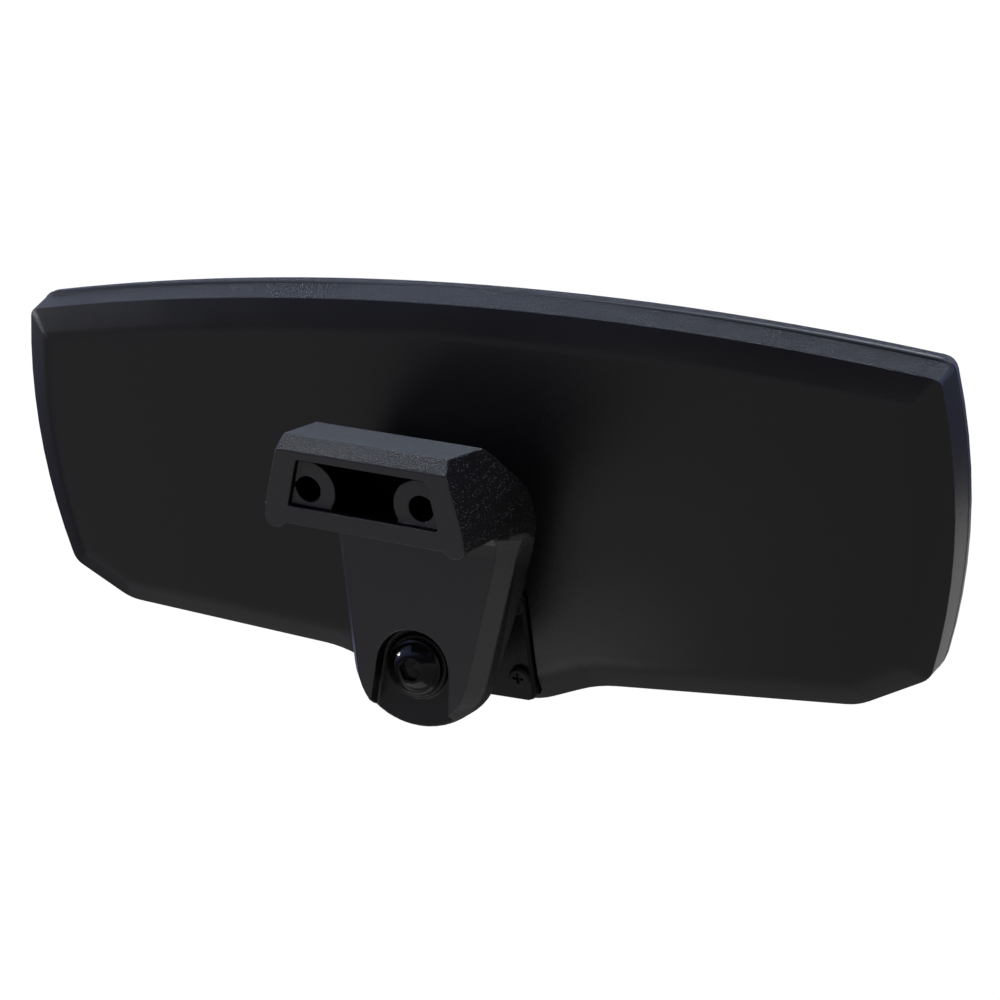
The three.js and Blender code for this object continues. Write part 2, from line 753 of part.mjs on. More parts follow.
// Plastic tray that backs the glass; its window clears the ball joint.
function glassCarrier() {
  const sheet = mirrorLoft([GLASS_INSET + 0.4, CARRIER_FRONT_Y], [GLASS_INSET + 0.4, CARRIER_FRONT_Y + 1]);
  const clear = swap(bothSides([[28, 23], [28, -13.4]]));
  return sheet.subtract(prism(clear, "y", CARRIER_FRONT_Y - 1, CARRIER_FRONT_Y + 2));
}

// Foam strip between the carrier and the glass, on the left or the right of the joint.
function foamPad(side) {
  const outline = [
    [8, 34],
    [8, 104],
    [64, 106],
    [70, 100],
    [74, 34],
  ].map(([z, x]) => [z, x * side]);
  return prism(outline, "y", GLASS_BACK_Y + 0.15, CARRIER_FRONT_Y - 0.15);
}

// ---------------------------------------------------------------- assembly
function material(colour, roughness, metalness) {
  return new THREE.MeshStandardMaterial({ color: colour, roughness, metalness });
}

function piece(name, solid, colour, roughness, metalness = 0) {
  const mesh = new THREE.Mesh(geometryOf(solid), material(colour, roughness, metalness));
  mesh.name = name;
  return mesh;
}

const BRACKET_PLASTIC = ["#2b2c30", 0.6];
const SHELL_PLASTIC = ["#1d1e22", 0.5];
const BLACK_STEEL = ["#141416", 0.25, 0.8];
const ZINC_STEEL = ["#9b9da0", 0.35, 1];
const NYLON = ["#d9d6c8", 0.5];

const bracket = new THREE.Group();
bracket.add(piece("mount_bracket", mountBracket(), ...BRACKET_PLASTIC));

// y runs out of the plate along the bolt, and the bolt's place on the plate is the origin.
const boltFrame = new THREE.Group();
boltFrame.position.set(0, BOLT_Y, BOLT_Z);
boltFrame.rotation.x = THREE.MathUtils.degToRad(PLATE_LEAN);
boltFrame.add(
  piece("pivot_bolt", pivotBolt(), ...BLACK_STEEL),
  piece("lock_washer", lockWasher(), ...ZINC_STEEL),
  piece("flat_washer", flatWasher(), ...ZINC_STEEL),
  piece("ball_stud", ballStud(), ...ZINC_STEEL),
);

// The head turns about the ball's centre.
const boltDirection = new THREE.Vector3(0, 1, 0).applyEuler(boltFrame.rotation);
const head = new THREE.Group();
head.position.copy(boltFrame.position).addScaledVector(boltDirection, -BALL_BELOW_PLATE);
head.quaternion
  .setFromAxisAngle(boltDirection, THREE.MathUtils.degToRad(ROLL))
  .multiply(
    new THREE.Quaternion().setFromEuler(
      new THREE.Euler(
        THREE.MathUtils.degToRad(TILT),
        0,
        THREE.MathUtils.degToRad(SWIVEL),
        "ZYX",
      ),
    ),
  );
head.add(
  piece("joint_housing", jointHousing(), ...SHELL_PLASTIC),
  piece("ball_liner", ballLiner(), ...NYLON),
  piece("ball_cup", ballCup(), ...NYLON),
  piece("cup_spring", cupSpring(), ...ZINC_STEEL),
  piece("retainer_plate", retainerPlate(), ...ZINC_STEEL),
  piece("rear_shell", rearShell(), ...SHELL_PLASTIC),
  piece("front_bezel", frontBezel(), ...SHELL_PLASTIC),
  piece("mirror_glass", mirrorGlass(), "#c8ccd0", 0.05, 1),
  piece("glass_carrier", glassCarrier(), "#303236", 0.7),
  piece("foam_pad_left", foamPad(1), "#55565a", 0.95),
  piece("foam_pad_right", foamPad(-1), "#55565a", 0.95),
);
for (const [place, x, z] of housingScrewPlaces()) {
  const screw = piece(`housing_screw_${place}`, housingScrew(), ...BLACK_STEEL);
  screw.position.set(x, 0, z);
  head.add(screw);
}

const mirror = new THREE.Group();
mirror.add(bracket, boltFrame, head);
export default mirror;
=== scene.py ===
"""Interior rearview mirror: looks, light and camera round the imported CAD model. Metres."""
import functools
import math

import bmesh
import bpy
from mathutils import Euler, Matrix, Quaternion, Vector


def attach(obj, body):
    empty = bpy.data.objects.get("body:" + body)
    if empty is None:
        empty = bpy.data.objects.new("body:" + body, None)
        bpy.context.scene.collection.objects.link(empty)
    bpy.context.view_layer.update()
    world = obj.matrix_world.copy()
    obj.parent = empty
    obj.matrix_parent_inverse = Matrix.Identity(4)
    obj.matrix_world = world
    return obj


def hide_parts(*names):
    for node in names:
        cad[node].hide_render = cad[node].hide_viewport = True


MM = 0.001
SAME_POINT = 0.001 * MM

FLOOR_Z = -0.11
BACKDROP_R = 6
PAPER_GLOW = 1.02

CAMERA_PLACE = Vector((-0.17853, 0.32093, 0.17051))
CAMERA_RIGHT = Vector((-0.91352, -0.4066, -0.01274))
CAMERA_UP = Vector((0.15588, -0.37881, 0.91225))
CAMERA_LENS = 66.09
CAMERA_SENSOR = 36

# The bolt's frame: where its axis meets the arm's plate, and how far the plate leans.
BOLT_PLACE = Vector((0, -21.15, -46.55)) * MM
BOLT_LEAN = math.radians(12.6)

# The head's frame: the ball's centre, how the head is turned, and the middle of its outline.
BALL_PLACE = Vector((0, -46.2311, -52.1562)) * MM
HEAD_TURN = (
    Quaternion((0, 0.975917, 0.218143), math.radians(2.9))
    @ Euler((math.radians(-1.3), 0, math.radians(0.35)), "XYZ").to_quaternion()
)
HEAD_MIDDLE = BALL_PLACE + HEAD_TURN @ Vector((0, -12, 35)) * MM

# The seam between shell and bezel: its place along the head's Y axis, its gap and its bead.
SEAM_Y = -12.6 * MM
SEAM_GAP = 0.3 * MM
BEAD_R = 1.2 * MM
BEAD_DROP = 1.15 * MM

# How far edges are rounded, and how finely the bracket is rebuilt.
SHELL_EDGE = 0.2 * MM
HOUSING_EDGE = 0.15 * MM
BRACKET_VOXEL = 0.28 * MM
BRACKET_SMOOTHING = 5

# The pocket in the mounting face, where shade is painted, in the frame's own axes.
POCKET_Y = (-18 * MM, -1.8 * MM)
POCKET_EDGE_Y = (-2 * MM, -0.3 * MM)
POCKET_Z = (1.6 * MM, 14.3 * MM)
POCKET_HALF_WIDTH = 18.8 * MM

# The recess round the bolt, where shade is painted, in the bolt's frame.
RECESS_BOTTOM_Y = -4.4 * MM
RECESS_MOUTH_Y = (-0.9 * MM, -0.3 * MM)
RECESS_Z = (-20 * MM, 10.5 * MM)
RECESS_HALF_WIDTH = 9.9 * MM

# The arm's flanks in the bolt's frame, where shade is painted: from the chamfer back, and fading
# out up to the box.
FLANK_Y = (-4.6 * MM, -5.6 * MM)
FLANK_FADE_Z = (27 * MM, 36 * MM)

# The pivot bolt in millimetres and degrees, in the bolt's frame.
BOLT_SEAT = -2.7
BOLT_HEAD_R = 7
BOLT_HEAD_HEIGHT = 4.4
BOLT_TOP = BOLT_SEAT + BOLT_HEAD_HEIGHT
SHANK_END = -17
SHANK_R = 3.9
SHANK_CHAMFER = 0.6
DOME_R = 7.85
DOME_ANGLES = (52.8, 24)
DOME_STEPS = 12
SOCKET_ACROSS = 5
SOCKET_DEPTH = 2.6

# The room's colour along this direction, from low in front at 0 to high behind at 1.
WORLD_AXIS = (0.398, -0.597, 0.697)
WORLD_STOPS = [
    (0.0, (0.24, 0.23, 0.23)),
    (0.12, (0.25, 0.24, 0.24)),
    (0.215, (0.24, 0.235, 0.24)),
    (0.3, (0.45, 0.42, 0.45)),
    (0.35, (0.06, 0.06, 0.07)),
    (0.42, (0.04, 0.038, 0.043)),
    (0.5, (0.07, 0.067, 0.078)),
    (0.6, (0.09, 0.1, 0.155)),
    (0.69, (0.36, 0.42, 0.74)),
    (0.76, (0.5, 0.6, 1.0)),
    (0.88, (0.3, 0.35, 0.52)),
    (1.0, (0.12, 0.14, 0.2)),
]


# ---------------------------------------------------------------- node helpers
class Nodes:
    """Short names for building one node tree."""

    def __init__(self, tree):
        self.tree = tree
        self.tree.nodes.clear()

    def add(self, kind, settings=None, **sockets):
        """A new node with the given settings, and with values or links by socket name."""
        made = self.tree.nodes.new(kind)
        for name, value in (settings or {}).items():
            setattr(made, name, value)
        for name, value in sockets.items():
            self.feed(made.inputs[name.replace("_", " ")], value)
        return made

    def feed(self, socket, value):
        """Links a socket to a socket or to a node's first output, or sets it to a value."""
        if isinstance(value, bpy.types.NodeSocket):
            self.tree.links.new(value, socket)
        elif isinstance(value, bpy.types.Node):
            self.tree.links.new(value.outputs[0], socket)
        else:
            socket.default_value = value

    def math(self, operation, a, b=0.0):
        made = self.add("ShaderNodeMath", {"operation": operation})
        self.feed(made.inputs[0], a)
        self.feed(made.inputs[1], b)
        return made.outputs[0]

    def times(self, *values):
        return functools.reduce(lambda a, b: self.math("MULTIPLY", a, b), values)

    def most(self, *values):
        return functools.reduce(lambda a, b: self.math("MAXIMUM", a, b), values)

    def between(self, value, low, high):
        """1 where value is between two limits, 0 elsewhere."""
        above = self.math("GREATER_THAN", value, low)
        return self.times(above, self.math("LESS_THAN", value, high))

    def spread(self, value, low, high, to_low=0.0, to_high=1.0):
        """value mapped from low..high to to_low..to_high, held at the ends."""
        made = self.add("ShaderNodeMapRange")
        for socket, number in zip(made.inputs, (value, low, high, to_low, to_high)):
            self.feed(socket, number)
        return made.outputs[0]

    def mix(self, share, a, b, kind="RGBA"):
        """a where share is 0, b where it is 1. Both are colours, or numbers for FLOAT."""
        made = self.add("ShaderNodeMix", {"data_type": kind}, Factor=share, A=a, B=b)
        return made.outputs["Result"]

    def mix_numbers(self, share, a, b):
        return self.mix(share, a, b, "FLOAT")

    def split(self, vector):
        return self.add("ShaderNodeSeparateXYZ", Vector=vector).outputs

    def place(self):
        return self.add("ShaderNodeTexCoord").outputs["Object"]

    def place_and_facing(self):
        """The point on the surface, and the X, Y and Z of the direction it faces."""
        coordinates = self.add("ShaderNodeTexCoord").outputs
        return coordinates["Object"], self.split(coordinates["Normal"])

    def noise(self, place, size, detail=2.0, roughness=0.5):
        """Soft noise with spots of about the given size."""
        sockets = {"Vector": place, "Scale": 1 / size, "Detail": detail, "Roughness": roughness}
        return self.add("ShaderNodeTexNoise", **sockets).outputs["Fac"]

    def specks(self, place, size, share, radius):
        """1 in round specks on a share of cells of the given size. The radius is in cells."""
        cells = self.add("ShaderNodeTexVoronoi", Vector=place, Scale=1 / size)
        pick = self.add("ShaderNodeSeparateColor", Color=cells.outputs["Color"])
        chosen = self.math("GREATER_THAN", pick.outputs["Red"], 1 - share)
        return self.times(chosen, self.math("LESS_THAN", cells.outputs["Distance"], radius))

    def bump(self, height, depth):
        return self.add("ShaderNodeBump", Distance=depth, Height=height).outputs[0]


def grey(value, warmth=0.0):
    return (value * (1 + warmth), value, value * (1 - warmth), 1)


def new_material(name):
    material = bpy.data.materials.new(name)
    material.use_nodes = True
    return material, Nodes(material.node_tree)


def close_material(nodes, **sockets):
    surface = nodes.add("ShaderNodeBsdfPrincipled", **sockets)
    nodes.add("ShaderNodeOutputMaterial", Surface=surface)


def glowing_material(name, strength):
    material, nodes = new_material(name)
    glow = nodes.add("ShaderNodeEmission", Color=grey(1), Strength=strength)
    nodes.add("ShaderNodeOutputMaterial", Surface=glow)
    return material


# ---------------------------------------------------------------- materials
def shell_plastic(name="shell_plastic_finish", shine=0.62):
    """Black moulded plastic: nearly smooth on the flat back, grained where it faces up, with
    pale specks there painted as glints.
    """
    material, nodes = new_material(name)
    place, facing = nodes.place_and_facing()
    flat = nodes.spread(facing["Y"], 0.6, 0.95)
    upward = nodes.spread(facing["Z"], 0.5, 0.9)
    cloud = nodes.noise(place, 30 * MM, detail=4)

    black = nodes.mix(cloud, (0.0052, 0.0047, 0.0050, 1), (0.0078, 0.0072, 0.0078, 1))
    # Pale specks on upward faces only: painted glints of light on the grain.
    painted_glint = nodes.times(nodes.specks(place, 0.6 * MM, 0.6, 0.26), upward)
    with_painted_glints = nodes.mix(painted_glint, black, (0.07, 0.07, 0.075, 1))
    dust = nodes.times(nodes.specks(place, 6 * MM, 0.12, 0.05), 0.3)

    polish = nodes.mix_numbers(flat, 0.26, 0.33)
    patchy = nodes.spread(cloud, 0.3, 0.7, 0.0, 0.06)
    grain = nodes.noise(place, 0.5 * MM, detail=3, roughness=0.75)
    wall_depth = nodes.mix_numbers(flat, 0.06 * MM, 0.045 * MM)
    close_material(
        nodes,
        Base_Color=nodes.mix(dust, with_painted_glints, grey(0.4)),
        Roughness=nodes.math("ADD", patchy, nodes.most(polish, nodes.times(upward, 0.29))),
        Specular_IOR_Level=shine,
        Normal=nodes.bump(grain, nodes.math("ADD", wall_depth, nodes.times(upward, 0.5 * MM))),
    )
    return material


def in_bolt_frame(nodes, place):
    """X, Y and Z of the point on the surface, measured in the bolt's frame."""
    turn = nodes.add("ShaderNodeMapping", {"vector_type": "TEXTURE"}, Vector=place)
    turn.inputs["Location"].default_value = BOLT_PLACE
    turn.inputs["Rotation"].default_value = (BOLT_LEAN, 0, 0)
    return nodes.split(turn)


def pocket_shade(nodes, at, across, turned_away):
    """Where shade is painted: 1 in the mounting face's pocket and on the rounded edge of its
    mouth.
    """
    edge = nodes.times(nodes.between(at["Y"], *POCKET_EDGE_Y), turned_away)
    deep = nodes.most(nodes.between(at["Y"], *POCKET_Y), edge)
    wide = nodes.math("LESS_THAN", across, POCKET_HALF_WIDTH)
    return nodes.times(deep, nodes.between(at["Z"], *POCKET_Z), wide)


def recess_shade(nodes, bolt, across, turned_away):
    """Painted shade: half dark on the floor of the recess round the bolt, and darker on its
    walls.
    """
    sunk = nodes.spread(bolt["Y"], *RECESS_MOUTH_Y, 1, 0)
    above_bottom = nodes.math("GREATER_THAN", bolt["Y"], RECESS_BOTTOM_Y)
    tall = nodes.between(bolt["Z"], *RECESS_Z)
    wide = nodes.math("LESS_THAN", across, RECESS_HALF_WIDTH)
    return nodes.times(sunk, above_bottom, tall, wide, nodes.mix_numbers(turned_away, 0.5, 0.85))


def flank_shade(nodes, bolt, turned_away):
    """Painted shade: dark on the arm's flanks behind the chamfer, fading out where they reach
    the box.
    """
    behind = nodes.spread(bolt["Y"], *FLANK_Y, 0, 0.8)
    return nodes.times(turned_away, behind, nodes.spread(bolt["Z"], *FLANK_FADE_Z, 1, 0))


def painted_hollow_shade(nodes, place, turned_away):
    """How much shade is painted on the bracket in its pocket, in the bolt's recess and on the
    arm's flanks.
    """
    at = nodes.split(place)
    bolt = in_bolt_frame(nodes, place)
    across = nodes.math("ABSOLUTE", at["X"])
    return nodes.most(
        pocket_shade(nodes, at, across, turned_away),
        recess_shade(nodes, bolt, across, turned_away),
        flank_shade(nodes, bolt, turned_away),
    )


def bracket_plastic():
    """Glass-filled black plastic: coarse grain on the sides, smooth on the front faces. Its
    colour holds painted light and shade: darker sides, lighter upward faces and chamfers, pale
    glints and shaded hollows.
    """
    material, nodes = new_material("bracket_plastic_finish")
    place, facing = nodes.place_and_facing()
    smooth = nodes.spread(facing["Y"], 0.85, 0.95)
    # Upward faces, where the sides get painted light.
    top = nodes.spread(facing["Z"], 0.8, 0.95)
    upward = nodes.spread(facing["Z"], 0.3, 0.7)
    sideways = nodes.math("LESS_THAN", facing["Y"], 0.5)
    turned_away = nodes.math("LESS_THAN", facing["Y"], 0.7)
    upright = nodes.math("LESS_THAN", nodes.math("ABSOLUTE", facing["Z"]), 0.35)
    # Chamfer faces, which get painted light.
    chamfer = nodes.times(nodes.between(facing["Y"], 0.5, 0.85), upright)
    # Painted shade in the pocket, in the bolt's recess and on the arm's flanks.
    shade = painted_hollow_shade(nodes, place, turned_away)

    cloud = nodes.noise(place, 12 * MM, detail=3)
    front = nodes.mix(cloud, (0.0205, 0.019, 0.021, 1), (0.027, 0.0255, 0.0285, 1))
    # The sides are darkened as painted shade, and lightened where they face up as painted light.
    side = nodes.mix(top, (0.005, 0.0046, 0.005, 1), (0.045, 0.046, 0.05, 1))
    # Pale specks on the sides: painted glints of light on the grain.
    painted_glint = nodes.times(nodes.specks(place, 0.6 * MM, 0.6, 0.24), sideways)
    with_painted_glints = nodes.mix(painted_glint, side, (0.16, 0.156, 0.168, 1))
    # The chamfers' lighter colour is painted light.
    colour = nodes.mix(chamfer, nodes.mix(smooth, with_painted_glints, front), (0.05, 0.048, 0.048, 1))

    polish = nodes.mix_numbers(smooth, 0.32, 0.38)
    grain = nodes.noise(place, 0.38 * MM, detail=3, roughness=0.7)
    side_depth = nodes.mix_numbers(upward, 0.16 * MM, 0.42 * MM)
    close_material(
        nodes,
        # The painted shade darkens the colour and, through the specular tint, the reflection.
        Base_Color=nodes.mix(shade, colour, grey(0.002)),
        Roughness=nodes.most(polish, nodes.times(upward, 0.34)),
        Specular_IOR_Level=0.85,
        Specular_Tint=nodes.mix(shade, grey(1), grey(0.06)),
        Normal=nodes.bump(grain, nodes.mix_numbers(smooth, side_depth, 0.02 * MM)),
    )
    return material


def metal(name, colour, roughness, metallic=1.0):
    """Drawn or plated steel with fine scratches and uneven polish."""
    material, nodes = new_material(name)
    place = nodes.place()
    cloud = nodes.noise(place, 3 * MM, detail=4)
    scratch = nodes.noise(place, 0.12 * MM)
    close_material(
        nodes,
        Base_Color=nodes.mix(cloud, grey(colour * 0.8), grey(colour * 1.2)),
        Metallic=metallic,
        Roughness=nodes.spread(cloud, 0.3, 0.7, roughness * 0.85, roughness * 1.15),
        Normal=nodes.bump(scratch, 0.008 * MM),
    )
    return material


def glass():
    """Silvered glass: a bright mirror with a faint uneven haze."""
    material, nodes = new_material("silvered_glass_finish")
    haze = nodes.noise(nodes.place(), 25 * MM, detail=5)
    close_material(
        nodes,
        Base_Color=nodes.mix(haze, (0.78, 0.81, 0.82, 1), (0.86, 0.88, 0.88, 1)),
        Metallic=1.0,
        Roughness=nodes.spread(haze, 0.3, 0.7, 0.01, 0.04),
    )
    return material


def moulded(name, low, high, roughness, size, depth):
    """Plain moulded or foamed plastic: mottled colour over a grain of the given size."""
    material, nodes = new_material(name)
    place = nodes.place()
    cloud = nodes.noise(place, 8 * MM, detail=4)
    grain = nodes.noise(place, size, detail=3)
    close_material(
        nodes,
        Base_Color=nodes.mix(cloud, low, high),
        Roughness=nodes.spread(grain, 0.3, 0.7, roughness * 0.85, roughness * 1.1),
        Normal=nodes.bump(grain, depth),
    )
    return material


def nylon():
    return moulded("nylon_finish", grey(0.52, 0.06), grey(0.62, 0.05), 0.5, 0.6 * MM, 0.03 * MM)


def tray_plastic():
    return moulded("tray_plastic_finish", grey(0.02), grey(0.03), 0.6, 0.5 * MM, 0.05 * MM)


def foam():
    return moulded("foam_finish", grey(0.07), grey(0.13), 0.9, 0.8 * MM, 0.3 * MM)


def seam_plastic():
    return moulded("seam_finish", grey(0.016), grey(0.022), 0.5, 0.5 * MM, 0.03 * MM)


def black_steel():
    return metal("black_steel_finish", 0.004, 0.55, 0.2)


def zinc_steel():
    return metal("zinc_steel_finish", 0.5, 0.3)


def polished_black():
    return metal("polished_black_finish", 0.012, 0.1, 0.5)


SLOT_FINISHES = {
    "shell_plastic": shell_plastic,
    "bracket_plastic": bracket_plastic,
    "black_steel": black_steel,
    "zinc_steel": zinc_steel,
    "nylon": nylon,
    "silvered_glass": glass,
    "tray_plastic": tray_plastic,
    "foam": foam,
}


def dress(pieces):
    """Gives each CAD piece the finish of its material slot, and the housing a duller one whose
    weaker reflection paints the shade it lies in.
    """
    finishes = {slot: make() for slot, make in SLOT_FINISHES.items()}
    for piece in pieces.values():
        slot = piece.material_slots[0]
        slot.material = finishes[slot.material.name]
    pieces["joint_housing"].material_slots[0].material = shell_plastic("housing_painted_shade_finish", 0.2)


# ---------------------------------------------------------------- shapes
def weld(piece):
    """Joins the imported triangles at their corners."""
    piece.modifiers.new("weld", "WELD").merge_threshold = SAME_POINT


def shade_smooth(piece):
    for face in piece.data.polygons:
        face.use_smooth = True


def soften(piece, width):
    """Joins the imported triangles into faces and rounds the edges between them."""
    weld(piece)
    join = piece.modifiers.new("join", "DECIMATE")
    join.decimate_type = "DISSOLVE"
    join.angle_limit = 0.01
    bevel = piece.modifiers.new("bevel", "BEVEL")
    bevel.width = width
    bevel.segments = 3
    bevel.limit_method = "ANGLE"
    bevel.angle_limit = 0.3
    bevel.use_clamp_overlap = False
    bevel.miter_outer = "MITER_ARC"
    piece.modifiers.new("normals", "WEIGHTED_NORMAL").weight = 60
    shade_smooth(piece)


def remould(piece, voxel, passes):
    """Rebuilds a piece as fine even faces with softly rounded edges."""
    weld(piece)
    remesh = piece.modifiers.new("remesh", "REMESH")
    remesh.mode = "VOXEL"
    remesh.voxel_size = voxel
    remesh.use_smooth_shade = True
    smooth = piece.modifiers.new("smooth", "SMOOTH")
    smooth.factor = 0.5
    smooth.iterations = passes


def apply_modifiers(piece):
    bpy.context.view_layer.update()
    shaped = piece.evaluated_get(bpy.context.evaluated_depsgraph_get())
    mesh = bpy.data.meshes.new_from_object(shaped)
    piece.modifiers.clear()
    piece.data = mesh


def add_object(name, data):
    made = bpy.data.objects.new(name, data)
    bpy.context.scene.collection.objects.link(made)
    return made


def ring(work, radius, y, steps):
    """Points round the Y axis, or one point on it where the radius is 0."""
    if radius == 0:
        return [work.verts.new((0, y, 0))]
    angles = [2 * math.pi * step / steps for step in range(steps)]
    return [work.verts.new((radius * math.cos(a), y, radius * math.sin(a))) for a in angles]


def lathe(name, profile, steps):
    """A mesh turned about Y from (radius, y) points in millimetres, first and last on Y."""
    work = bmesh.new()
    rings = [ring(work, radius * MM, y * MM, steps) for radius, y in profile]
    for low, high in zip(rings, rings[1:]):
        for step in range(steps):
            corners = [low[step % len(low)], low[(step + 1) % len(low)]]
            corners += [high[(step + 1) % len(high)], high[step % len(high)]]
            work.faces.new(list(dict.fromkeys(corners)))
    bmesh.ops.recalc_face_normals(work, faces=work.faces)
    mesh = bpy.data.meshes.new(name)
    work.to_mesh(mesh)
    work.free()
    return add_object(name, mesh)


def dome_outline():
    """The arc from the rim of the bolt's head to the flat round its socket."""
    first, last = DOME_ANGLES
    points = []
    for step in range(DOME_STEPS + 1):
        angle = math.radians(first - (first - last) * step / DOME_STEPS)
        points.append((DOME_R * math.sin(angle), BOLT_TOP - DOME_R * (1 - math.cos(angle))))
    return points


def bolt_outline():
    """Half the bolt's section, from the end of its shank to the middle of its head."""
    shank = [
        (0, SHANK_END),
        (SHANK_R - SHANK_CHAMFER, SHANK_END),
        (SHANK_R, SHANK_END + SHANK_CHAMFER),
        (SHANK_R, BOLT_SEAT),
    ]
    rim = [
        (BOLT_HEAD_R - 0.25, BOLT_SEAT),
        (BOLT_HEAD_R - 0.05, BOLT_SEAT + 0.15),
        (BOLT_HEAD_R, BOLT_SEAT + 0.4),
        (BOLT_HEAD_R - 0.05, BOLT_SEAT + 0.85),
        (BOLT_HEAD_R - 0.2, BOLT_SEAT + 1.05),
        (BOLT_HEAD_R - 0.5, BOLT_SEAT + 1.15),
    ]
    dome = dome_outline()
    return [*shank, *rim, *dome, (0, dome[-1][1])]


def socket_outline():
    """Half the section of the hexagon cut into the head, with a shallow cone as its floor."""
    corner = SOCKET_ACROSS / math.sqrt(3)
    floor = BOLT_TOP - SOCKET_DEPTH
    return [(0, floor), (corner, floor + 0.2), (corner, BOLT_TOP + 1), (0, BOLT_TOP + 1)]


def pivot_bolt(finish):
    """The button-head bolt: a rolled rim, a low dome and a hexagon socket."""
    piece = lathe("pivot_bolt_turned", bolt_outline(), 96)
    shade_smooth(piece)
    piece.data.set_sharp_from_angle(angle=math.radians(40))
    piece.data.materials.append(finish)
    cutter = lathe("bolt_socket_cutter", socket_outline(), 6)
    cut = piece.modifiers.new("socket", "BOOLEAN")
    cut.object = cutter
    cut.solver = "EXACT"
    edge = piece.modifiers.new("edge", "BEVEL")
    edge.width = 0.12 * MM
    edge.segments = 2
    edge.limit_method = "ANGLE"
    edge.angle_limit = math.radians(50)
    place = Matrix.Translation(BOLT_PLACE) @ Matrix.Rotation(BOLT_LEAN, 4, "X")
    cutter.matrix_world = place
    piece.matrix_world = place
    apply_modifiers(piece)
    bpy.data.objects.remove(cutter)
    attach(piece, "bracket")
    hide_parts("pivot_bolt")


def chain(edges):
    """The vertices of a loop of edges, in the order in which they follow each other."""
    beside = {}
    for edge in edges:
        for vertex in edge.verts:
            beside.setdefault(vertex, []).append(edge.other_vert(vertex))
    loop = [edges[0].verts[0]]
    seen = set(loop)
    while True:
        further = [vertex for vertex in beside[loop[-1]] if vertex not in seen]
        if not further:
            return loop
        loop.append(further[0])
        seen.add(further[0])


def seam_line(shell, forward):
    """Points round the outer edge of the rear shell's rim, at the seam."""
    work = bmesh.new()
    work.from_mesh(shell.data)
    bmesh.ops.remove_doubles(work, verts=work.verts, dist=SAME_POINT)

    def on_seam(vertex):
        return abs((vertex.co - BALL_PLACE).dot(forward) - SEAM_Y) < 0.05 * MM

    def outer_wall(face):
        outward = face.calc_center_median() - HEAD_MIDDLE
        return abs(face.normal.dot(forward)) < 0.5 and face.normal.dot(outward) > 0

    rim = [edge for edge in work.edges if all(map(on_seam, edge.verts))]
    outer_rim = [edge for edge in rim if any(map(outer_wall, edge.link_faces))]
    points = [vertex.co.copy() for vertex in chain(outer_rim)]
    work.free()
    return points


def seam_bead(shell, finish):
    """A fine rounded edge that closes the seam between the rear shell and the front bezel."""
    forward = HEAD_TURN @ Vector((0, 1, 0))
    points = seam_line(shell, forward)
    line = bpy.data.curves.new("seam_bead", "CURVE")
    line.dimensions = "3D"
    line.bevel_depth = BEAD_R
    line.bevel_resolution = 3
    line.materials.append(finish)
    spline = line.splines.new("POLY")
    spline.points.add(len(points) - 1)
    spline.use_cyclic_u = True
    for knot, point in zip(spline.points, points):
        inward = (HEAD_MIDDLE - point).normalized()
        knot.co = (*(point - forward * SEAM_GAP / 2 + inward * BEAD_DROP), 1)
    bead = add_object("seam_bead", line)
    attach(bead, "head")


# ---------------------------------------------------------------- stage
def only_for_camera(piece):
    piece.visible_diffuse = False
    piece.visible_glossy = False
    piece.visible_transmission = False
    piece.visible_shadow = False


def make_backdrop():
    """The white floor and a white dome over it, seen by the camera and by nothing else."""
    paper = glowing_material("pale_paper", PAPER_GLOW)
    bpy.ops.mesh.primitive_circle_add(
        vertices=64, radius=BACKDROP_R, fill_type="NGON", location=(0, 0, FLOOR_Z)
    )
    floor = bpy.context.object
    floor.name = "floor"
    bpy.ops.mesh.primitive_uv_sphere_add(
        segments=64, ring_count=32, radius=BACKDROP_R, location=(0, 0, 0)
    )
    dome = bpy.context.object
    dome.name = "backdrop"
    for piece in (floor, dome):
        piece.data.materials.append(paper)
        only_for_camera(piece)


def glow_card(name, low, high, strength):
    """A bright patch of the table, from corner low to corner high, seen only in gloss."""
    mesh = bpy.data.meshes.new(name)
    around = [(low[0], low[1]), (high[0], low[1]), (high[0], high[1]), (low[0], high[1])]
    mesh.from_pydata([(x, y, FLOOR_Z + MM) for x, y in around], [], [(0, 1, 2, 3)])
    mesh.materials.append(glowing_material(name, strength))
    card = add_object(name, mesh)
    card.visible_camera = False
    card.visible_diffuse = False
    card.visible_shadow = False


def fill_ramp(stops, colours):
    """Sets a new ramp's two end stops and adds the ones between them."""
    for stop, (position, colour) in zip(stops, (colours[0], colours[-1])):
        stop.position = position
        stop.color = (*colour, 1)
    for position, colour in colours[1:-1]:
        stops.new(position).color = (*colour, 1)


def make_world():
    """A room whose colour changes along one slanting axis only."""
    world = bpy.data.worlds.new("studio")
    bpy.context.scene.world = world
    world.use_nodes = True
    nodes = Nodes(world.node_tree)
    direction = nodes.add("ShaderNodeTexCoord").outputs["Generated"]
    along = nodes.add("ShaderNodeVectorMath", {"operation": "DOT_PRODUCT"})
    nodes.feed(along.inputs[0], direction)
    nodes.feed(along.inputs[1], WORLD_AXIS)
    ramp = nodes.add("ShaderNodeValToRGB", Fac=nodes.spread(along.outputs["Value"], -1, 1))
    fill_ramp(ramp.color_ramp.elements, WORLD_STOPS)
    sky = nodes.add("ShaderNodeBackground", Color=ramp, Strength=1.0)
    nodes.add("ShaderNodeOutputWorld", Surface=sky)


def aim(light, direction):
    light.rotation_mode = "QUATERNION"
    light.rotation_quaternion = Vector(direction).to_track_quat("-Z", "Y")


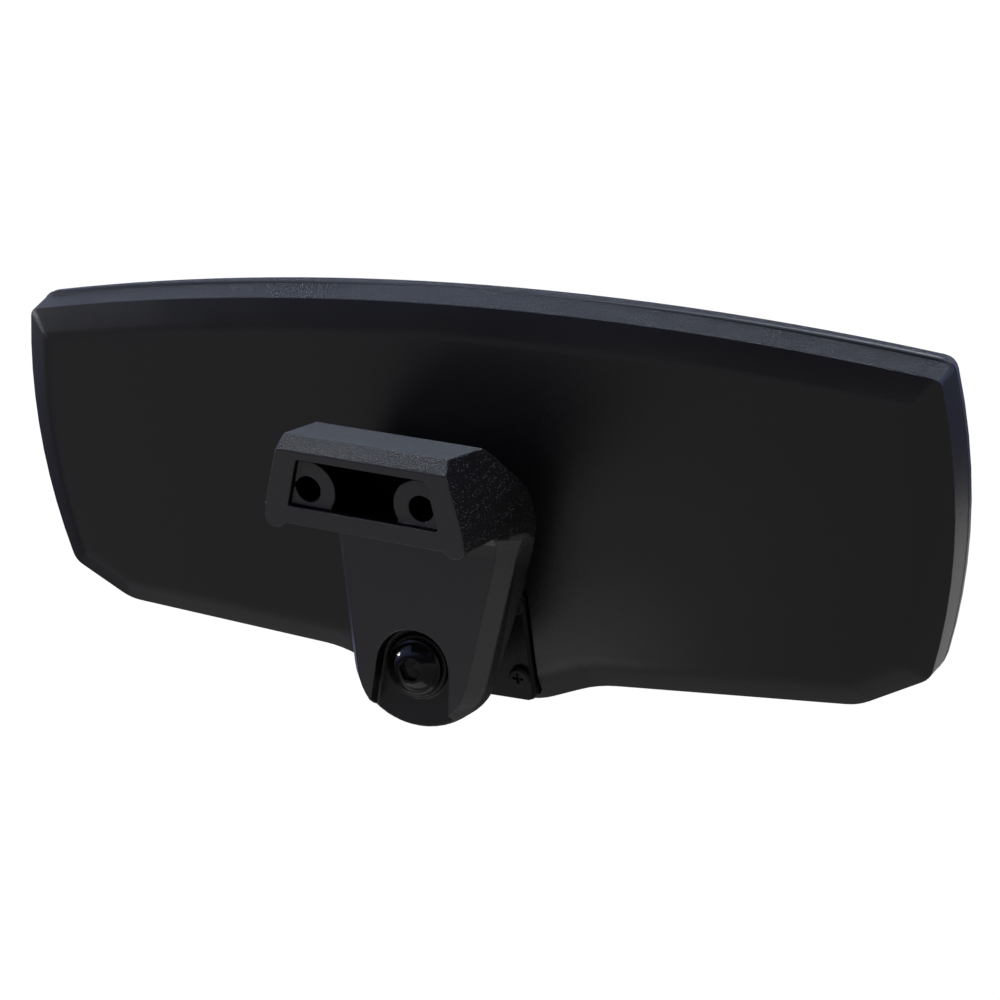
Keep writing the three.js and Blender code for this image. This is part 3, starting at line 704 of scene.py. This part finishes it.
def make_high_light():
    """A soft cool light from high up on the glass side."""
    data = bpy.data.lights.new("high_light", "SUN")
    data.energy = 2.5
    data.angle = math.radians(12)
    data.color = (0.84, 0.91, 1.0)
    aim(add_object("high_light", data), (0.03, 0.55, -0.83))


def make_side_softbox():
    """A small light beyond one end of the mirror that shows only in glossy surfaces."""
    data = bpy.data.lights.new("side_softbox", "AREA")
    data.shape = "RECTANGLE"
    data.size = 0.03
    data.size_y = 0.035
    data.energy = 0.7
    light = add_object("side_softbox", data)
    light.location = (0.5, 0.03, 0.07)
    aim(light, Vector((0, -0.02, -0.045)) - light.location)
    light.visible_diffuse = False


def make_camera():
    data = bpy.data.cameras.new("camera")
    data.lens = CAMERA_LENS
    data.sensor_width = CAMERA_SENSOR
    data.clip_start = 0.01
    camera = add_object("camera", data)
    backward = CAMERA_RIGHT.cross(CAMERA_UP)
    turn = Matrix((CAMERA_RIGHT, CAMERA_UP, backward)).transposed()
    camera.matrix_world = Matrix.LocRotScale(CAMERA_PLACE, turn.to_quaternion(), None)
    bpy.context.scene.camera = camera


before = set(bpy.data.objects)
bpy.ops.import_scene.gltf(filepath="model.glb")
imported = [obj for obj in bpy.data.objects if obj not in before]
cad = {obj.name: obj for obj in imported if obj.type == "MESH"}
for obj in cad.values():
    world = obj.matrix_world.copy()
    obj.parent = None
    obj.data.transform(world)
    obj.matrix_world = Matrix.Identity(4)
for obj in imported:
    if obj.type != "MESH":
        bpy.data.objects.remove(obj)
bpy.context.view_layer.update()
dress(cad)
soften(cad["rear_shell"], SHELL_EDGE)
soften(cad["front_bezel"], SHELL_EDGE)
soften(cad["joint_housing"], HOUSING_EDGE)
remould(cad["mount_bracket"], BRACKET_VOXEL, BRACKET_SMOOTHING)
pivot_bolt(polished_black())
seam_bead(cad["rear_shell"], seam_plastic())

make_backdrop()
glow_card("table_behind", (-0.32, -0.32), (-0.10, -0.05), 0.5)
glow_card("table_below", (-0.03, 0.0), (0.04, 0.045), 1.0)
make_world()
make_high_light()
make_side_softbox()
make_camera()
bpy.context.scene.view_settings.view_transform = "Standard"
